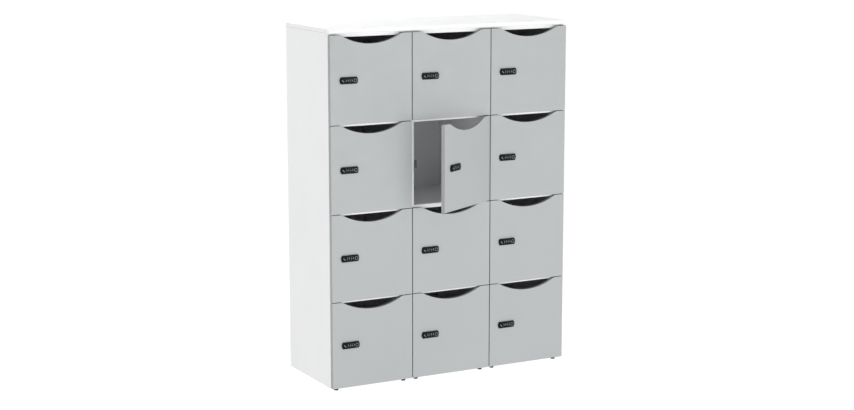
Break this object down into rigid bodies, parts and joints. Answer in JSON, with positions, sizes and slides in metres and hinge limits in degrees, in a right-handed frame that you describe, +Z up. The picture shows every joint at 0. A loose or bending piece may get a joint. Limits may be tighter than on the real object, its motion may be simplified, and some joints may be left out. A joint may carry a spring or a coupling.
{
  "type": "compartment locker",
  "caption": "Free-standing bank of lockers with grey doors that have a scooped letter slot, black combination locks and concealed hinges, in white boards on levelling feet.",
  "frame": {"origin": "on the floor, under the middle of the part's box, which takes in the ajar door", "axes": "+Z up, the doors face -Y, +X to the right of someone who faces the doors"},
  "size_m": [1.2, 0.6506, 1.605],
  "materials": {
    "white_board": "white melamine board",
    "back_board": "white melamine board",
    "grey_door": "pale grey melamine board",
    "beech": "bare fluted beech",
    "hinge_steel": "nickel-plated steel",
    "grey_steel": "grey powder coat",
    "black_fittings": "satin black zinc casting",
    "black_plastic": "matt black moulding"
  },
  "bodies": {
    "carcass": {"top_panel": "white_board", "side_panels": "white_board", "sub_tops": "white_board", "bottom_panels": "white_board", "shelves": "white_board", "back_panels": "back_board", "dowels": "beech", "hinge_arms": "hinge_steel", "hinge_plates": "hinge_steel", "lock_keepers": "grey_steel", "levelling_feet": "black_plastic", "fixing_screws": "hinge_steel"},
    "door_r1_c1": {"door_r1_c1": "grey_door", "door_fittings_r1_c1": "black_fittings"},
    "knob_r1_c1": {"lock_knob_r1_c1": "black_fittings"},
    "wheels_r1_c1": {"code_wheels_r1_c1": "black_plastic"},
    "door_r1_c2": {"door_r1_c2": "grey_door", "door_fittings_r1_c2": "black_fittings"},
    "knob_r1_c2": {"lock_knob_r1_c2": "black_fittings"},
    "wheels_r1_c2": {"code_wheels_r1_c2": "black_plastic"},
    "door_r1_c3": {"door_r1_c3": "grey_door", "door_fittings_r1_c3": "black_fittings"},
    "knob_r1_c3": {"lock_knob_r1_c3": "black_fittings"},
    "wheels_r1_c3": {"code_wheels_r1_c3": "black_plastic"},
    "door_r2_c1": {"door_r2_c1": "grey_door", "door_fittings_r2_c1": "black_fittings"},
    "knob_r2_c1": {"lock_knob_r2_c1": "black_fittings"},
    "wheels_r2_c1": {"code_wheels_r2_c1": "black_plastic"},
    "door_r2_c2": {"door_r2_c2": "grey_door", "door_fittings_r2_c2": "black_fittings"},
    "knob_r2_c2": {"lock_knob_r2_c2": "black_fittings"},
    "wheels_r2_c2": {"code_wheels_r2_c2": "black_plastic"},
    "door_r2_c3": {"door_r2_c3": "grey_door", "door_fittings_r2_c3": "black_fittings"},
    "knob_r2_c3": {"lock_knob_r2_c3": "black_fittings"},
    "wheels_r2_c3": {"code_wheels_r2_c3": "black_plastic"},
    "door_r3_c1": {"door_r3_c1": "grey_door", "door_fittings_r3_c1": "black_fittings"},
    "knob_r3_c1": {"lock_knob_r3_c1": "black_fittings"},
    "wheels_r3_c1": {"code_wheels_r3_c1": "black_plastic"},
    "door_r3_c2": {"door_r3_c2": "grey_door", "door_fittings_r3_c2": "black_fittings"},
    "knob_r3_c2": {"lock_knob_r3_c2": "black_fittings"},
    "wheels_r3_c2": {"code_wheels_r3_c2": "black_plastic"},
    "door_r3_c3": {"door_r3_c3": "grey_door", "door_fittings_r3_c3": "black_fittings"},
    "knob_r3_c3": {"lock_knob_r3_c3": "black_fittings"},
    "wheels_r3_c3": {"code_wheels_r3_c3": "black_plastic"},
    "door_r4_c1": {"door_r4_c1": "grey_door", "door_fittings_r4_c1": "black_fittings"},
    "knob_r4_c1": {"lock_knob_r4_c1": "black_fittings"},
    "wheels_r4_c1": {"code_wheels_r4_c1": "black_plastic"},
    "door_r4_c2": {"door_r4_c2": "grey_door", "door_fittings_r4_c2": "black_fittings"},
    "knob_r4_c2": {"lock_knob_r4_c2": "black_fittings"},
    "wheels_r4_c2": {"code_wheels_r4_c2": "black_plastic"},
    "door_r4_c3": {"door_r4_c3": "grey_door", "door_fittings_r4_c3": "black_fittings"},
    "knob_r4_c3": {"lock_knob_r4_c3": "black_fittings"},
    "wheels_r4_c3": {"code_wheels_r4_c3": "black_plastic"}
  },
  "joints": [
    {"name": "door_hinge_r1_c1", "type": "hinge", "parent": "carcass", "child": "door_r1_c1", "pos_m": [-0.21, -0.12527, 1.3845], "axis": [0, 0, 1], "range_deg": [0, 95]},
    {"name": "lock_turn_r1_c1", "type": "hinge", "parent": "door_r1_c1", "child": "knob_r1_c1", "pos_m": [-0.543, -0.13897, 1.3825], "axis": [0, 1, 0], "range_deg": [0, 90]},
    {"name": "code_turn_r1_c1", "type": "hinge", "parent": "door_r1_c1", "child": "wheels_r1_c1", "pos_m": [-0.511, -0.13127, 1.3825], "axis": [1, 0, 0], "continuous": true},
    {"name": "door_hinge_r1_c2", "type": "hinge", "parent": "carcass", "child": "door_r1_c2", "pos_m": [0.19, -0.12527, 1.3845], "axis": [0, 0, 1], "range_deg": [0, 95]},
    {"name": "lock_turn_r1_c2", "type": "hinge", "parent": "door_r1_c2", "child": "knob_r1_c2", "pos_m": [-0.143, -0.13897, 1.3825], "axis": [0, 1, 0], "range_deg": [0, 90]},
    {"name": "code_turn_r1_c2", "type": "hinge", "parent": "door_r1_c2", "child": "wheels_r1_c2", "pos_m": [-0.111, -0.13127, 1.3825], "axis": [1, 0, 0], "continuous": true},
    {"name": "door_hinge_r1_c3", "type": "hinge", "parent": "carcass", "child": "door_r1_c3", "pos_m": [0.59, -0.12527, 1.3845], "axis": [0, 0, 1], "range_deg": [0, 95]},
    {"name": "lock_turn_r1_c3", "type": "hinge", "parent": "door_r1_c3", "child": "knob_r1_c3", "pos_m": [0.257, -0.13897, 1.3825], "axis": [0, 1, 0], "range_deg": [0, 90]},
    {"name": "code_turn_r1_c3", "type": "hinge", "parent": "door_r1_c3", "child": "wheels_r1_c3", "pos_m": [0.289, -0.13127, 1.3825], "axis": [1, 0, 0], "continuous": true},
    {"name": "door_hinge_r2_c1", "type": "hinge", "parent": "carcass", "child": "door_r2_c1", "pos_m": [-0.21, -0.12527, 0.9925], "axis": [0, 0, 1], "range_deg": [0, 95]},
    {"name": "lock_turn_r2_c1", "type": "hinge", "parent": "door_r2_c1", "child": "knob_r2_c1", "pos_m": [-0.543, -0.13897, 0.9905], "axis": [0, 1, 0], "range_deg": [0, 90]},
    {"name": "code_turn_r2_c1", "type": "hinge", "parent": "door_r2_c1", "child": "wheels_r2_c1", "pos_m": [-0.511, -0.13127, 0.9905], "axis": [1, 0, 0], "continuous": true},
    {"name": "door_hinge_r2_c2", "type": "hinge", "parent": "carcass", "child": "door_r2_c2", "pos_m": [0.19, -0.12527, 0.9925], "axis": [0, 0, 1], "range_deg": [-30, 65]},
    {"name": "lock_turn_r2_c2", "type": "hinge", "parent": "door_r2_c2", "child": "knob_r2_c2", "pos_m": [-0.09154, -0.30363, 0.9905], "axis": [-0.5, 0.866, 0], "range_deg": [0, 90]},
    {"name": "code_turn_r2_c2", "type": "hinge", "parent": "door_r2_c2", "child": "wheels_r2_c2", "pos_m": [-0.06767, -0.28097, 0.9905], "axis": [0.866, 0.5, 0], "continuous": true},
    {"name": "door_hinge_r2_c3", "type": "hinge", "parent": "carcass", "child": "door_r2_c3", "pos_m": [0.59, -0.12527, 0.9925], "axis": [0, 0, 1], "range_deg": [0, 95]},
    {"name": "lock_turn_r2_c3", "type": "hinge", "parent": "door_r2_c3", "child": "knob_r2_c3", "pos_m": [0.257, -0.13897, 0.9905], "axis": [0, 1, 0], "range_deg": [0, 90]},
    {"name": "code_turn_r2_c3", "type": "hinge", "parent": "door_r2_c3", "child": "wheels_r2_c3", "pos_m": [0.289, -0.13127, 0.9905], "axis": [1, 0, 0], "continuous": true},
    {"name": "door_hinge_r3_c1", "type": "hinge", "parent": "carcass", "child": "door_r3_c1", "pos_m": [-0.21, -0.12527, 0.6005], "axis": [0, 0, 1], "range_deg": [0, 95]},
    {"name": "lock_turn_r3_c1", "type": "hinge", "parent": "door_r3_c1", "child": "knob_r3_c1", "pos_m": [-0.543, -0.13897, 0.5985], "axis": [0, 1, 0], "range_deg": [0, 90]},
    {"name": "code_turn_r3_c1", "type": "hinge", "parent": "door_r3_c1", "child": "wheels_r3_c1", "pos_m": [-0.511, -0.13127, 0.5985], "axis": [1, 0, 0], "continuous": true},
    {"name": "door_hinge_r3_c2", "type": "hinge", "parent": "carcass", "child": "door_r3_c2", "pos_m": [0.19, -0.12527, 0.6005], "axis": [0, 0, 1], "range_deg": [0, 95]},
    {"name": "lock_turn_r3_c2", "type": "hinge", "parent": "door_r3_c2", "child": "knob_r3_c2", "pos_m": [-0.143, -0.13897, 0.5985], "axis": [0, 1, 0], "range_deg": [0, 90]},
    {"name": "code_turn_r3_c2", "type": "hinge", "parent": "door_r3_c2", "child": "wheels_r3_c2", "pos_m": [-0.111, -0.13127, 0.5985], "axis": [1, 0, 0], "continuous": true},
    {"name": "door_hinge_r3_c3", "type": "hinge", "parent": "carcass", "child": "door_r3_c3", "pos_m": [0.59, -0.12527, 0.6005], "axis": [0, 0, 1], "range_deg": [0, 95]},
    {"name": "lock_turn_r3_c3", "type": "hinge", "parent": "door_r3_c3", "child": "knob_r3_c3", "pos_m": [0.257, -0.13897, 0.5985], "axis": [0, 1, 0], "range_deg": [0, 90]},
    {"name": "code_turn_r3_c3", "type": "hinge", "parent": "door_r3_c3", "child": "wheels_r3_c3", "pos_m": [0.289, -0.13127, 0.5985], "axis": [1, 0, 0], "continuous": true},
    {"name": "door_hinge_r4_c1", "type": "hinge", "parent": "carcass", "child": "door_r4_c1", "pos_m": [-0.21, -0.12527, 0.2085], "axis": [0, 0, 1], "range_deg": [0, 95]},
    {"name": "lock_turn_r4_c1", "type": "hinge", "parent": "door_r4_c1", "child": "knob_r4_c1", "pos_m": [-0.543, -0.13897, 0.2065], "axis": [0, 1, 0], "range_deg": [0, 90]},
    {"name": "code_turn_r4_c1", "type": "hinge", "parent": "door_r4_c1", "child": "wheels_r4_c1", "pos_m": [-0.511, -0.13127, 0.2065], "axis": [1, 0, 0], "continuous": true},
    {"name": "door_hinge_r4_c2", "type": "hinge", "parent": "carcass", "child": "door_r4_c2", "pos_m": [0.19, -0.12527, 0.2085], "axis": [0, 0, 1], "range_deg": [0, 95]},
    {"name": "lock_turn_r4_c2", "type": "hinge", "parent": "door_r4_c2", "child": "knob_r4_c2", "pos_m": [-0.143, -0.13897, 0.2065], "axis": [0, 1, 0], "range_deg": [0, 90]},
    {"name": "code_turn_r4_c2", "type": "hinge", "parent": "door_r4_c2", "child": "wheels_r4_c2", "pos_m": [-0.111, -0.13127, 0.2065], "axis": [1, 0, 0], "continuous": true},
    {"name": "door_hinge_r4_c3", "type": "hinge", "parent": "carcass", "child": "door_r4_c3", "pos_m": [0.59, -0.12527, 0.2085], "axis": [0, 0, 1], "range_deg": [0, 95]},
    {"name": "lock_turn_r4_c3", "type": "hinge", "parent": "door_r4_c3", "child": "knob_r4_c3", "pos_m": [0.257, -0.13897, 0.2065], "axis": [0, 1, 0], "range_deg": [0, 90]},
    {"name": "code_turn_r4_c3", "type": "hinge", "parent": "door_r4_c3", "child": "wheels_r4_c3", "pos_m": [0.289, -0.13127, 0.2065], "axis": [1, 0, 0], "continuous": true}
  ]
}
